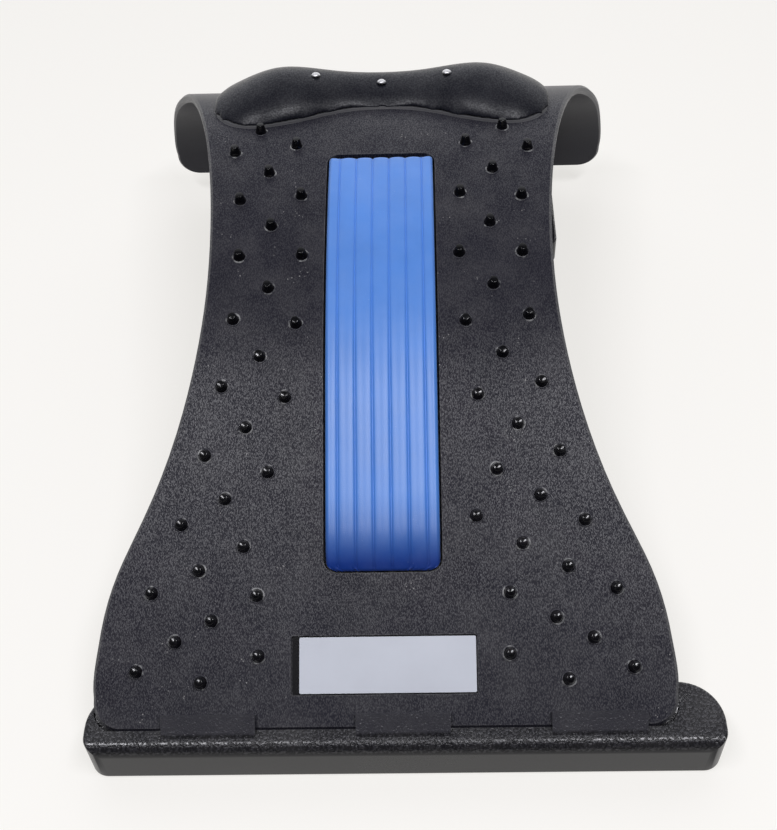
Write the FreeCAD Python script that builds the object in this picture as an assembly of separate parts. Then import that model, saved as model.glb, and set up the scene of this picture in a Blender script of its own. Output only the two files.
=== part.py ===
import FreeCAD, Part
import math
import os

# Arched back stretcher: a studded hourglass panel is bent over a low base.
# Its front edge lies under three hooks and its rear edge drops into a level groove.
# Millimetres, +Z up, front bar towards -Y. The origin is on the floor under the base's middle.

V = FreeCAD.Vector
AXIS_X = V(1, 0, 0)

# Base
bar_width = 275.2
bar_depth = 31.0
bar_height = 24.5
bar_front_radius = 8.0
bar_rear_radius = 19.0
bar_nose_radius = 6.0
bar_top_radius = 1.5
base_wall = 2.6
base_lift = 1.0
spine_height = 12.0
spine_root_half = 78.0
spine_waist_half = 50.0
spine_top_chamfer = 2.0
board_width = 177.0
board_length = 85.0
board_rest_gap = 0.3
board_front_radius = 6.0
board_rear_radius = 18.0
board_top_chamfer = 1.0
ridge_height = 7.0
ridge_top_radius = 1.5
ridge_draft = 1.4
ridge_end_inset = 6.0
groove_pitch = 18.0
groove_count = 4
groove_clearance = 1.0
rib_thickness = 2.0
rib_pitch = 42.0

# Hooks on the front bar
hook_width = 40.5
hook_spacing = 83.5
hook_wall = 2.0
hook_reach = 5.6
lift_angle = 15.0
edge_clearance = 0.75

# Feet
foot_radius = 9.0
foot_thickness = 2.6
foot_chamfer = 0.6
foot_fit = 0.3
foot_sides = 24
foot_boss_wall = 2.4
foot_side_inset = 26.0
foot_rear_inset = 24.0

# Arched panel: side profile of its upper face, from the front edge to the rear edge
panel_front_width = 251.2
panel_rear_width = 250.0
panel_waist_width = 160.0
panel_waist_place = 213.0
panel_thickness = 4.5
panel_rim_chamfer = 1.2
panel_corner_radius = 12.0
panel_side_shift = 8.0
panel_front_setback = 9.6
panel_rear_margin = 15.384
flank_slope = 27.95
flank_length = 141.0
crown_radius = 274.0
crown_sweep = 32.4
shoulder_radius = 130.0
shoulder_sweep = 25.7
tail_radius = 84.0
tail_sweep = 60.4
tail_margin = 2.0
end_straight = 18.0
end_arc_radius = 142.0
outline_steps = 24

# Slot, pad and the tray that carries the pad
slot_start = 66.5
slot_rear_margin = 16.9
slot_width = 52.2
slot_corner_radius = 6.0
pad_side_clearance = 1.0
pad_end_clearance = 3.0
pad_front_clearance = 1.0
pad_crown = 1.6
pad_rib_pitch = 7.9
pad_rib_rise = 1.1
pad_ribs = 5
pad_dip_radius = 46.0
pad_dip_sweep = 24.0
tray_thickness = 2.0
tray_margin = 11.0
tray_corner_radius = 9.0

# Studs
stud_base_radius = 2.7
stud_tip_radius = 1.9
stud_height = 4.8
stud_tip_rounding = 0.4
stud_sides = 10

# Recess for the plate near the front edge
recess_width = 80.5
recess_length = 25.2
recess_start = 14.4
recess_depth = 1.4
recess_corner_radius = 1.0

# Neck pillow, its base plate and its dots
pillow_half_width = 83.5
pillow_length = 78.0
pillow_height = 17.3
pillow_setback = 5.8
pillow_base_thickness = 1.2
pillow_base_margin = 0.4
pillow_steps = 36
dot_radius = 2.3
dot_rise = 1.2
dot_sink = 1.5
dot_spread = 33.5
dot_fit = 0.1
dot_sides = 12

overrun = 3.0
edge_tolerance = 0.5
tiny = 0.000001

# Places of the studs: share of the distance to the pillow, share of the half front width
outer_stud_shares = [
    (0.0832, 0.855), (0.1945, 0.806), (0.2936, 0.706), (0.3954, 0.627), (0.4994, 0.571),
    (0.6052, 0.536), (0.7135, 0.523), (0.8226, 0.533), (0.9326, 0.57),
]
middle_stud_shares = [
    (0.2264, 0.642), (0.3304, 0.554), (0.4368, 0.483), (0.5455, 0.436), (0.6572, 0.412),
    (0.7699, 0.409), (0.8819, 0.429), (0.9893, 0.479),
]
inner_stud_shares = [
    (0.2608, 0.487), (0.3695, 0.404), (0.4819, 0.344), (0.5972, 0.307), (0.7139, 0.291),
    (0.8305, 0.301), (0.9482, 0.331),
]
front_stud_shares = [
    (0.1899, 0.439), (0.1541, 0.596), (0.1249, 0.721), (0.1034, 0.433), (0.0669, 0.631),
]
odd_stud_share = (0.3013, 0.328)

# Cross shape of the pillow: half width share, foot start, length and height shares
pillow_station_shares = [
    (0.0, 0.23, 0.64, 0.70), (0.28, 0.175, 0.71, 0.80), (0.50, 0.07, 0.85, 0.99),
    (0.64, 0.025, 0.91, 1.0), (0.78, 0.0, 0.93, 0.81), (0.88, 0.02, 0.85, 0.61),
    (0.95, 0.07, 0.70, 0.44), (1.0, 0.15, 0.42, 0.28),
]
# One cross section: share of its length, share of its height
pillow_section_shares = [
    (0.0, 0.0), (0.02, 0.30), (0.09, 0.58), (0.22, 0.86), (0.40, 1.0), (0.65, 0.80), (0.87, 0.42),
    (1.0, 0.0),
]
dot_side_share = 0.35
dot_centre_share = 0.37
dot_shoulder_share = 0.35
dot_crown_share = 0.6

# Derived sizes
half_front = panel_front_width / 2
half_rear = panel_rear_width / 2
half_waist = panel_waist_width / 2
tail_length = panel_corner_radius + tail_margin
crown_end = flank_length + crown_radius * math.radians(crown_sweep)
slot_length = crown_end - slot_rear_margin - slot_start
pillow_front = crown_end + pillow_setback


# The panel's side profile is one straight flank, three arcs and a short tail
def profile_segments(front_y):
    """Segments from the front edge on, the panel's length and where its rear edge lies."""
    pieces = [
        (flank_length, 0.0),
        (crown_radius * math.radians(crown_sweep), crown_radius),
        (shoulder_radius * math.radians(shoulder_sweep), shoulder_radius),
        (tail_radius * math.radians(tail_sweep), tail_radius),
        (tail_length, 0.0),
    ]
    start, slope = 0.0, math.radians(flank_slope)
    y, z = front_y, bar_height
    segments = []
    for length, radius in pieces:
        segments.append((start, length, radius, y, z, slope))
        if radius:
            end_slope = slope - length / radius
            y += radius * (math.sin(slope) - math.sin(end_slope))
            z += radius * (math.cos(end_slope) - math.cos(slope))
            slope = end_slope
        else:
            y += length * math.cos(slope)
            z += length * math.sin(slope)
        start += length
    return segments, start, y


# The base is as long as the bent panel needs
panel_span = profile_segments(0.0)[2]
base_length = panel_front_setback + panel_span + panel_rear_margin
base_front = -base_length / 2
board_start = base_length / 2 - board_length
panel_front = base_front + panel_front_setback
SEGMENTS, panel_length = profile_segments(panel_front)[:2]


def on_segment(segment, s):
    """Place and slope on one segment, at a distance from the panel's front edge."""
    start, length, radius, y, z, slope = segment
    run = s - start
    if radius:
        here = slope - run / radius
        y += radius * (math.sin(slope) - math.sin(here))
        z += radius * (math.cos(here) - math.cos(slope))
        return y, z, here
    return y + run * math.cos(slope), z + run * math.sin(slope), slope


def along(s):
    segment = SEGMENTS[0]
    for candidate in SEGMENTS:
        if s >= candidate[0]:
            segment = candidate
    return on_segment(segment, s)


def raised(place, height, x=0.0):
    y, z, slope = place
    return V(x, y - height * math.sin(slope), z + height * math.cos(slope))


def point(s, height, x=0.0):
    """Point over the upper face, at a distance from the front edge and a height."""
    return raised(along(s), height, x)


def offset_path(start, end, height):
    """Edges that follow the profile at a height, from start to end."""
    edges = []
    for segment in SEGMENTS:
        place, length, radius = segment[:3]
        first = start if place == 0.0 else max(start, place)
        last = end if place + length >= panel_length else min(end, place + length)
        if last - first <= tiny:
            continue
        a, middle, b = [
            raised(on_segment(segment, s), height) for s in (first, (first + last) / 2, last)
        ]
        edge = Part.Arc(a, middle, b) if radius else Part.LineSegment(a, b)
        edges.append(edge.toShape())
    return edges


board_height = min(point(panel_length, h).z for h in (0.0, -panel_thickness)) - board_rest_gap


def ribbon(start, end, low, high, half_width):
    """Band that follows the profile between two heights, as wide as asked."""
    top = offset_path(start, end, high)
    bottom = offset_path(start, end, low)
    close = [
        Part.LineSegment(point(start, low), point(start, high)).toShape(),
        Part.LineSegment(point(end, low), point(end, high)).toShape(),
    ]
    wire = Part.Wire(Part.__sortEdges__(top + bottom + close))
    face = Part.Face(wire)
    face.translate(V(-half_width, 0, 0))
    return face.extrude(V(2 * half_width, 0, 0))


def local_placement(s, x, height=0.0, tilt=0.0):
    """Frame whose Z stands on the panel and whose Y runs along it, tilted further if asked."""
    turn = FreeCAD.Rotation(AXIS_X, math.degrees(along(s)[2] + tilt))
    return FreeCAD.Placement(point(s, height, x), turn)


def end_edges(solid, start, end):
    """Edges that stand on the panel at the corners of a band."""
    found = []
    for edge in solid.Edges:
        if len(edge.Vertexes) != 2:
            continue
        a, b = (v.Point for v in edge.Vertexes)
        middle = (a + b) * 0.5
        for s in (start, end):
            foot = point(s, 0.0)
            slope = along(s)[2]
            run = (middle.y - foot.y) * math.cos(slope) + (middle.z - foot.z) * math.sin(slope)
            spread = (b.y - a.y) * math.cos(slope) + (b.z - a.z) * math.sin(slope)
            upright = abs(b.x - a.x) < edge_tolerance and abs(spread) < edge_tolerance
            if upright and abs(run) < edge_tolerance and abs(middle.x) > edge_tolerance:
                found.append(edge)
    return found


def rounded_ribbon(start, end, low, high, half_width, radius):
    band = ribbon(start, end, low, high, half_width)
    return band.makeFillet(radius, end_edges(band, start, end))


def shift_panel(shape):
    shape.translate(V(-panel_side_shift, 0, 0))
    return shape


# Hourglass outline
def half_width_at(s):
    """Half width at a distance: straight ends, flaring arcs, and a long arc each side of the waist."""
    if s < panel_waist_place:
        place, run, half = s, panel_waist_place, half_front
    else:
        place, run, half = panel_length - s, panel_length - panel_waist_place, half_rear
    curved = run - end_straight
    angle = 2 * math.atan2(half - half_waist, curved)
    waist_radius = curved / math.sin(angle) - end_arc_radius
    if place <= end_straight:
        return half
    if place <= end_straight + end_arc_radius * math.sin(angle):
        return half - end_arc_radius + math.sqrt(end_arc_radius ** 2 - (place - end_straight) ** 2)
    return half_waist + waist_radius - math.sqrt(waist_radius ** 2 - (run - place) ** 2)


def hourglass_block(start, end):
    """Block with the panel's outline and chamfered rims, lofted along the profile."""
    sections = []
    for i in range(outline_steps + 1):
        s = start + (end - start) * i / outline_steps
        half = half_width_at(s)
        narrow = half - panel_rim_chamfer - overrun
        right = [
            point(s, -panel_thickness - overrun, narrow),
            point(s, panel_rim_chamfer - panel_thickness, half),
            point(s, -panel_rim_chamfer, half), point(s, overrun, narrow),
        ]
        left = [V(-p.x, p.y, p.z) for p in reversed(right)]
        sections.append(Part.makePolygon(right + left + right[:1]))
    return Part.makeLoft(sections, True, False)


def end_plate(half):
    """Flat end of the panel, as lies at its front: rounded corners and chamfered rims."""
    plate = Part.makeBox(2 * half, tail_length, panel_thickness, V(-half, 0, -panel_thickness))
    corners = [e for e in plate.Edges if upright_edge(e) and abs(e.CenterOfMass.y) < tiny]
    plate = plate.makeFillet(panel_corner_radius, corners)
    rims = [e for e in plate.Edges if e.BoundBox.ZLength < tiny
            and abs(e.CenterOfMass.y - tail_length) > tiny]
    return plate.makeChamfer(panel_rim_chamfer, rims)


def arch_panel():
    rear_start = panel_length - tail_length
    middle = ribbon(tail_length, rear_start, -panel_thickness, 0.0, half_front + half_rear)
    middle = middle.common(hourglass_block(tail_length, rear_start))
    front, rear = end_plate(half_front), end_plate(half_rear)
    front.Placement = local_placement(0.0, 0.0)
    half_turn = FreeCAD.Placement(V(), FreeCAD.Rotation(V(0, 0, 1), 180))
    rear.Placement = local_placement(panel_length, 0.0).multiply(half_turn)
    panel = middle.fuse([front, rear])
    slot = rounded_ribbon(slot_start, slot_start + slot_length, -panel_thickness - overrun, overrun,
                          slot_width / 2, slot_corner_radius)
    recess = rounded_ribbon(recess_start, recess_start + recess_length, -recess_depth, overrun,
                            recess_width / 2, recess_corner_radius)
    return panel.cut([slot, recess]).removeSplitter()


def pad_tray():
    start = slot_start - tray_margin
    end = slot_start + slot_length + tray_margin
    return rounded_ribbon(start, end, -panel_thickness - tray_thickness, -panel_thickness,
                          slot_width / 2 + tray_margin, tray_corner_radius)


def pad_section(s, foot):
    """Fluted cross section of the pad: full ribs with a narrow rib at each side."""
    half = slot_width / 2 - pad_side_clearance
    full = pad_rib_pitch * pad_ribs / 2
    valleys = [-half] + [-full + pad_rib_pitch * i for i in range(pad_ribs + 1)] + [half]
    low = pad_crown - pad_rib_rise
    frame = local_placement(s, 0.0)
    edges = []
    for a, b in zip(valleys[:-1], valleys[1:]):
        rise = pad_rib_rise * (b - a) / pad_rib_pitch
        points = [V(a, 0, low), V((a + b) / 2, 0, low + rise), V(b, 0, low)]
        edges.append(Part.Arc(*[frame.multVec(p) for p in points]).toShape())
    corners = [V(half, 0, low), V(half, 0, foot), V(-half, 0, foot), V(-half, 0, low)]
    corners = [frame.multVec(p) for p in corners]
    for a, b in zip(corners[:-1], corners[1:]):
        edges.append(Part.LineSegment(a, b).toShape())
    return Part.Face(Part.Wire(Part.__sortEdges__(edges)))


def turned(face, s, radius, sweep):
    """Face at a distance along the panel, turned about a centre below the panel."""
    centre = point(s, -radius)
    return face.revolve(centre, AXIS_X, sweep)


def spine_pad():
    start = slot_start + pad_front_clearance
    end = slot_start + slot_length - pad_end_clearance
    dip = pad_dip_radius * math.radians(pad_dip_sweep)
    deep = -panel_thickness - overrun
    flat_start = start + dip
    crown_start = SEGMENTS[1][0]
    nose = turned(pad_section(flat_start, deep), flat_start, pad_dip_radius, pad_dip_sweep)
    step = point(crown_start, 0.0) - point(flat_start, 0.0)
    flat = pad_section(flat_start, deep).extrude(step)
    bend = turned(pad_section(crown_start, deep), crown_start, crown_radius,
                  -math.degrees((end - crown_start) / crown_radius))
    body = nose.fuse([flat, bend]).removeSplitter()
    room = ribbon(start, end, -panel_thickness, pad_crown + overrun, slot_width / 2)
    return body.common(room)


def ring(sides, radius, height):
    """Corners of a polygon about Z."""
    return [
        V(radius * math.cos(math.tau * i / sides), radius * math.sin(math.tau * i / sides), height)
        for i in range(sides)
    ]


def turned_piece(sides, rings):
    """Small piece with flat sides, from its radius at each height, the lowest first."""
    levels = [ring(sides, radius, height) for radius, height in rings]
    outlines = [list(reversed(levels[0])), levels[-1]]
    for low, high in zip(levels[:-1], levels[1:]):
        for i in range(sides):
            j = (i + 1) % sides
            outlines.append([low[i], low[j], high[j], high[i]])
    faces = [Part.Face(Part.makePolygon(corners + corners[:1])) for corners in outlines]
    shell = Part.makeShell(faces)
    shell.sewShape()
    return Part.makeSolid(shell)


def stud(s, x):
    shape = turned_piece(stud_sides, [
        (stud_base_radius, 0.0),
        (stud_tip_radius, stud_height - stud_tip_rounding),
        (stud_tip_radius - stud_tip_rounding, stud_height),
    ])
    shape.Placement = local_placement(s, x)
    return shape


def stud_group(shares, sign):
    return [stud(pillow_front * along_share, sign * half_front * side_share)
            for along_share, side_share in shares]


def station_curve():
    """Smooth run of the cross shape's shares: X foot start, Y length, Z height."""
    rows = [(-w, a, b, c) for w, a, b, c in reversed(pillow_station_shares[1:])]
    rows += pillow_station_shares
    curve = Part.BSplineCurve()
    curve.interpolate(Points=[V(a, b, c) for w, a, b, c in rows], Parameters=[row[0] for row in rows])
    return curve


def pillow_loft(margin):
    """Two lobed body, lofted across the panel from cross sections that stand on it."""
    stations = station_curve()
    knots = [i / (len(pillow_section_shares) - 1) for i in range(len(pillow_section_shares))]
    sections = []
    for i in range(pillow_steps + 1):
        width = -math.cos(math.pi * i / pillow_steps)
        shares = stations.value(width)
        x = width * (pillow_half_width + margin)
        start = pillow_front + pillow_length * shares.x - margin
        length = pillow_length * shares.y + 2 * margin
        upper = [
            point(start + length * a, -overrun + (pillow_height * shares.z + overrun) * h, x)
            for a, h in pillow_section_shares
        ]
        curve = Part.BSplineCurve()
        curve.interpolate(Points=upper, Parameters=knots)
        back = Part.LineSegment(upper[-1], upper[0]).toShape()
        sections.append(Part.Wire([curve.toShape(), back]))
    return Part.makeLoft(sections, True, True)


def pillow_room(low, high):
    return ribbon(pillow_front - pillow_length, panel_length - tail_length, low, high, half_front)


def neck_pillow():
    body = pillow_loft(0.0)
    body = body.common(pillow_room(pillow_base_thickness, pillow_height * 2))
    return body.cut(dot_seats())


def pillow_base():
    return pillow_loft(pillow_base_margin).common(pillow_room(0.0, pillow_base_thickness))


def height_over_panel(body, s, x):
    probe = Part.LineSegment(point(s, 0.0, x), point(s, 2 * pillow_height, x)).toShape()
    foot = point(s, 0.0, x)
    return max((v.Point - foot).Length for v in body.common(probe).Vertexes)


def dot_places():
    """Distance along the panel, across it, height over it and tilt of each dot."""
    body = pillow_loft(0.0)
    places = []
    for x, share in ((-dot_spread, dot_side_share), (0.0, dot_centre_share), (dot_spread, dot_side_share)):
        s = pillow_front + pillow_length * share
        before, here, behind = [height_over_panel(body, s + step, x)
                                for step in (-dot_radius, 0.0, dot_radius)]
        places.append((s, x, here, math.atan2(behind - before, 2 * dot_radius)))
    return places


DOTS = dot_places()


def dot(place):
    body = turned_piece(dot_sides, [
        (dot_radius, -dot_sink), (dot_radius, dot_rise * dot_shoulder_share),
        (dot_radius * dot_crown_share, dot_rise),
    ])
    s, x, height, tilt = place
    body.Placement = local_placement(s, x, height, tilt)
    return body


def pillow_dots():
    return [dot(place) for place in DOTS]


def dot_seats():
    seats = []
    for s, x, height, tilt in DOTS:
        radius = dot_radius + dot_fit
        seat = turned_piece(dot_sides, [(radius, -dot_sink), (radius, 2 * dot_sink)])
        seat.Placement = local_placement(s, x, height, tilt)
        seats.append(seat)
    return seats


# Base mouldings
def rounded_plan(half, front, rear, front_radius, rear_radius, low, high):
    """Block with a rounded plan outline."""
    block = Part.makeBox(2 * half, rear - front, high - low, V(-half, front, low))
    front_edges = [e for e in block.Edges if upright_edge(e) and abs(e.CenterOfMass.y - front) < tiny]
    block = block.makeFillet(front_radius, front_edges)
    rear_edges = [e for e in block.Edges if upright_edge(e) and abs(e.CenterOfMass.y - rear) < tiny]
    return block.makeFillet(rear_radius, rear_edges)


def upright_edge(edge):
    box = edge.BoundBox
    return box.XLength < tiny and box.YLength < tiny


def top_edges(shape, height):
    return [e for e in shape.Edges
            if abs(e.BoundBox.ZMin - height) < tiny and abs(e.BoundBox.ZMax - height) < tiny]


def spine_outline(half_root, half_waist_width, front, rear, low, high):
    """Waisted spine between the bar and the board, each side one long arc."""
    middle = (front + rear) / 2
    right = Part.Arc(V(half_root, front, low), V(half_waist_width, middle, low), V(half_root, rear, low))
    left = Part.Arc(V(-half_root, rear, low), V(-half_waist_width, middle, low), V(-half_root, front, low))
    ends = [
        Part.LineSegment(V(half_root, rear, low), V(-half_root, rear, low)),
        Part.LineSegment(V(-half_root, front, low), V(half_root, front, low)),
    ]
    wire = Part.Wire([right.toShape(), ends[0].toShape(), left.toShape(), ends[1].toShape()])
    return Part.Face(wire).extrude(V(0, 0, high - low))


def cross_ribs(half, front, rear, low, high, step):
    count = max(1, int((2 * half) / step))
    pitch = 2 * half / (count + 1)
    return [
        Part.makeBox(rib_thickness, rear - front, high - low,
                     V(-half + pitch * (i + 1) - rib_thickness / 2, front, low))
        for i in range(count)
    ]


def hinge_centre():
    centre = point(panel_thickness / 2, -panel_thickness / 2)
    return centre.y, centre.z, along(0.0)[2]


def bar_side(front, rear):
    """Bar with its front top edge rounded wide, as long as the bar is."""
    nose = bar_height - bar_nose_radius
    turn = bar_nose_radius * (1 - math.sqrt(0.5))
    arc = Part.Arc(V(0, front, nose), V(0, front + turn, bar_height - turn),
                   V(0, front + bar_nose_radius, bar_height))
    corners = [V(0, front + bar_nose_radius, bar_height), V(0, rear, bar_height),
               V(0, rear, base_lift), V(0, front, base_lift), V(0, front, nose)]
    outline = Part.Wire([arc.toShape()] + Part.makePolygon(corners).Edges)
    face = Part.Face(outline)
    face.translate(V(-bar_width / 2, 0, 0))
    return face.extrude(V(bar_width, 0, 0))


def front_bar():
    rear = base_front + bar_depth
    outer = rounded_plan(bar_width / 2, base_front, rear, bar_front_radius, bar_rear_radius,
                         base_lift, bar_height)
    edges = [e for e in top_edges(outer, bar_height) if e.CenterOfMass.y > base_front + bar_front_radius]
    outer = outer.makeFillet(bar_top_radius, edges[:1])
    outer = outer.common(bar_side(base_front, rear))
    roof = bar_height - panel_thickness - 2 * base_wall
    inner = rounded_plan(bar_width / 2 - base_wall, base_front + base_wall, rear - base_wall,
                         bar_front_radius - base_wall, bar_rear_radius - base_wall,
                         base_lift - overrun, roof)
    ribs = cross_ribs(bar_width / 2 - base_wall, base_front + base_wall / 2, rear - base_wall / 2,
                      base_lift, roof + base_wall / 2, rib_pitch)
    return outer.cut(inner).fuse(ribs)


def hook_blocks():
    """Three hooks that rise from the bar's front lip and lean over the panel's edge."""
    cy, cz, slope = hinge_centre()
    lean = slope + math.radians(lift_angle)
    inner = panel_thickness / 2 + edge_clearance
    run = (math.cos(lean), math.sin(lean))
    away = (-math.sin(lean), math.cos(lean))
    front = base_front + bar_nose_radius
    deep = bar_height - panel_thickness

    def lip(offset, reach):
        return V(0, cy + away[0] * offset + run[0] * reach, cz + away[1] * offset + run[1] * reach)

    outline = [
        V(0, front, deep), V(0, front, bar_height), lip(inner + hook_wall, 0.0),
        lip(inner + hook_wall, hook_reach), lip(inner, hook_reach), V(0, cy, cz), V(0, cy, deep),
    ]
    face = Part.Face(Part.makePolygon(outline + outline[:1]))
    blocks = []
    for i in (-1, 0, 1):
        block = face.extrude(V(hook_width, 0, 0))
        block.translate(V(i * hook_spacing - hook_width / 2, 0, 0))
        blocks.append(block)
    return blocks


def edge_room():
    """Room for the panel's front edge from rest to the top of its lift."""
    cy, cz, slope = hinge_centre()
    lean = slope + math.radians(lift_angle)
    radius = panel_thickness / 2 + edge_clearance
    reach = bar_depth
    low = V(0, cy + radius * math.sin(slope), cz - radius * math.cos(slope))
    high = V(0, cy - radius * math.sin(lean), cz + radius * math.cos(lean))
    low_end = low + V(0, math.cos(slope), math.sin(slope)) * reach
    high_end = high + V(0, math.cos(lean), math.sin(lean)) * reach
    centre = V(0, cy, cz)
    face = Part.Face(Part.makePolygon([centre, low, low_end, high_end, high, centre]))
    width = panel_front_width + 2 * edge_clearance
    face.translate(V(-panel_side_shift - width / 2, 0, 0))
    wedge = face.extrude(V(width, 0, 0))
    round_room = Part.makeCylinder(radius, width, V(-panel_side_shift - width / 2, cy, cz), AXIS_X)
    corner = panel_corner_radius - edge_clearance
    plan = rounded_plan(width / 2, cy - radius - edge_clearance, cy + reach, corner, corner,
                        base_lift, bar_height * 2)
    return shift_panel(plan).common(wedge.fuse(round_room))


def groove_places():
    """Middle of each groove, the rearmost first."""
    middle = point(panel_length, -panel_thickness / 2)
    return [middle.y - groove_pitch * i for i in range(groove_count)]


def ridge_blocks():
    """Ridges before, between and behind the grooves, with rounded tops and drafted sides."""
    half_groove = panel_thickness / 2 + groove_clearance
    places = groove_places()
    spans = [(places[0] + half_groove, places[0] - half_groove + groove_pitch)]
    spans += [(y - groove_pitch + half_groove, y - half_groove) for y in places]
    blocks = []
    half = board_width / 2 - ridge_end_inset
    for front, rear in spans:
        outline = [
            V(0, front, board_height - base_wall), V(0, front, board_height),
            V(0, front + ridge_draft, board_height + ridge_height),
            V(0, rear - ridge_draft, board_height + ridge_height),
            V(0, rear, board_height), V(0, rear, board_height - base_wall),
        ]
        face = Part.Face(Part.makePolygon(outline + outline[:1]))
        block = face.extrude(V(2 * half, 0, 0))
        block.translate(V(-half, 0, 0))
        edges = top_edges(block, board_height + ridge_height)
        blocks.append(block.makeFillet(ridge_top_radius, edges))
    return blocks


def rear_board():
    rear = base_length / 2
    outer = rounded_plan(board_width / 2, board_start, rear, board_front_radius, board_rear_radius,
                         base_lift, board_height)
    outer = outer.makeChamfer(board_top_chamfer, top_edges(outer, board_height))
    roof = board_height - base_wall
    inner = rounded_plan(board_width / 2 - base_wall, board_start + base_wall, rear - base_wall,
                         board_front_radius - base_wall, board_rear_radius - base_wall,
                         base_lift - overrun, roof)
    ribs = cross_ribs(board_width / 2 - base_wall, board_start + base_wall / 2,
                      rear - base_wall / 2, base_lift, roof + base_wall / 2, rib_pitch)
    return outer.cut(inner).fuse(ribs)


def base_spine():
    front = base_front + bar_depth - base_wall
    rear = board_start + base_wall
    outer = spine_outline(spine_root_half, spine_waist_half, front, rear, base_lift, spine_height)
    sides = [e for e in top_edges(outer, spine_height) if e.BoundBox.YLength > bar_depth]
    outer = outer.makeChamfer(spine_top_chamfer, sides)
    inner = spine_outline(spine_root_half - base_wall, spine_waist_half - base_wall,
                          front + base_wall, rear - base_wall, base_lift - overrun,
                          spine_height - base_wall)
    shell = outer.cut(inner)
    count = int((rear - front) / rib_pitch)
    step = (rear - front) / count
    middle = (front + rear) / 2
    for i in range(1, count):
        y = front + step * i
        t = (y - middle) / ((rear - front) / 2)
        half = spine_waist_half + (spine_root_half - spine_waist_half) * t * t - base_wall / 2
        shell = shell.fuse(Part.makeBox(2 * half, rib_thickness, spine_height - base_wall / 2 - base_lift,
                                        V(-half, y - rib_thickness / 2, base_lift)))
    return shell


def foot_places():
    front = base_front + bar_depth / 2
    side = bar_width / 2 - foot_side_inset
    rear = base_length / 2 - foot_rear_inset
    rear_side = board_width / 2 - foot_side_inset
    return {
        "front_left_foot": (-side, front, bar_height - panel_thickness - 2 * base_wall),
        "front_right_foot": (side, front, bar_height - panel_thickness - 2 * base_wall),
        "rear_left_foot": (-rear_side, rear, board_height - base_wall),
        "rear_right_foot": (rear_side, rear, board_height - base_wall),
    }


def foot(x, y):
    pad = turned_piece(foot_sides, [
        (foot_radius - foot_chamfer, 0.0), (foot_radius, foot_chamfer), (foot_radius, foot_thickness),
    ])
    pad.translate(V(x, y, 0))
    return pad


def base_frame():
    frame = front_bar().fuse([base_spine(), rear_board()])
    bosses, seats = [], []
    for x, y, roof in foot_places().values():
        bosses.append(Part.makeCylinder(foot_radius + foot_boss_wall, roof + base_wall / 2 - base_lift,
                                        V(x, y, base_lift)))
        seats.append(Part.makeCylinder(foot_radius + foot_fit, foot_thickness, V(x, y, 0)))
    frame = frame.fuse(bosses + hook_blocks() + ridge_blocks())
    frame = frame.cut([edge_room()] + seats)
    return frame.removeSplitter()


def save(name, shapes):
    shape = shapes if isinstance(shapes, Part.Shape) else Part.makeCompound(shapes)
    solids = shape.Solids
    shape = solids[0] if len(solids) == 1 else Part.makeCompound(solids)
    shape.exportStep("parts/" + name + ".step")
    print(name, len(solids), "solids", "valid" if shape.isValid() else "NOT VALID",
          round(shape.Volume / 1000, 2), "cm3")


def main():
    os.makedirs("parts", exist_ok=True)
    save("base_frame", base_frame())
    for name, (x, y, roof) in foot_places().items():
        save(name, foot(x, y))
    save("arch_panel", shift_panel(arch_panel()))
    save("pad_tray", shift_panel(pad_tray()))
    save("spine_pad", shift_panel(spine_pad()))
    groups = {
        "outer": outer_stud_shares, "middle": middle_stud_shares,
        "inner": inner_stud_shares, "front": front_stud_shares,
    }
    for side, sign in (("left", -1), ("right", 1)):
        for column, shares in groups.items():
            rows = shares + [odd_stud_share] if (side, column) == ("right", "inner") else shares
            save(side + "_" + column + "_studs", shift_panel(Part.makeCompound(stud_group(rows, sign))))
    save("pillow_base", shift_panel(pillow_base()))
    save("neck_pillow", shift_panel(neck_pillow()))
    save("pillow_dots", shift_panel(Part.makeCompound(pillow_dots())))


main()
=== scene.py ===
import math

import bmesh
import bpy
from mathutils import Matrix, Vector


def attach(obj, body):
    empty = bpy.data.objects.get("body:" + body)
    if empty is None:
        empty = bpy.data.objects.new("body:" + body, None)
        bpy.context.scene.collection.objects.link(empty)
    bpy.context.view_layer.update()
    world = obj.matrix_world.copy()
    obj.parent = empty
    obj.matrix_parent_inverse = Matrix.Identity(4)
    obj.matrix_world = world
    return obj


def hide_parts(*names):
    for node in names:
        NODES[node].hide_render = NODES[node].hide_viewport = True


bl_info = {
    "name": "Arched Back Stretcher",
    "version": (1, 0, 0),
    "blender": (4, 5, 0),
    "location": "View3D > Sidebar > Stretcher",
    "description": "Dresses the packed stretcher with its pad, pillow, studs, plate and finishes",
    "category": "Object",
}

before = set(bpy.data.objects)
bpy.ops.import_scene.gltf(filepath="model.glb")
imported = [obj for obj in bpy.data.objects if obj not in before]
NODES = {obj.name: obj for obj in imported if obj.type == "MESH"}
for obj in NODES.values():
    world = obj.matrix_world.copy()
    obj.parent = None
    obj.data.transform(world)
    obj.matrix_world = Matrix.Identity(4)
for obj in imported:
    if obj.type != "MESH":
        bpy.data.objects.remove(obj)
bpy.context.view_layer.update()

STUD_NODES = [side + "_" + column + "_studs"
              for side in ("left", "right") for column in ("outer", "middle", "inner", "front")]
FOOT_NODES = [end + "_" + side + "_foot" for end in ("front", "rear") for side in ("left", "right")]

# Grey painted on the panel's side rims, a painted highlight of their rounded edges
RIM_GREY = (0.085, 0.085, 0.09, 1.0)
NEAREST_STEPS = 2000
ROUND_STEPS = 24


# Sizes and colours a user would change

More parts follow.
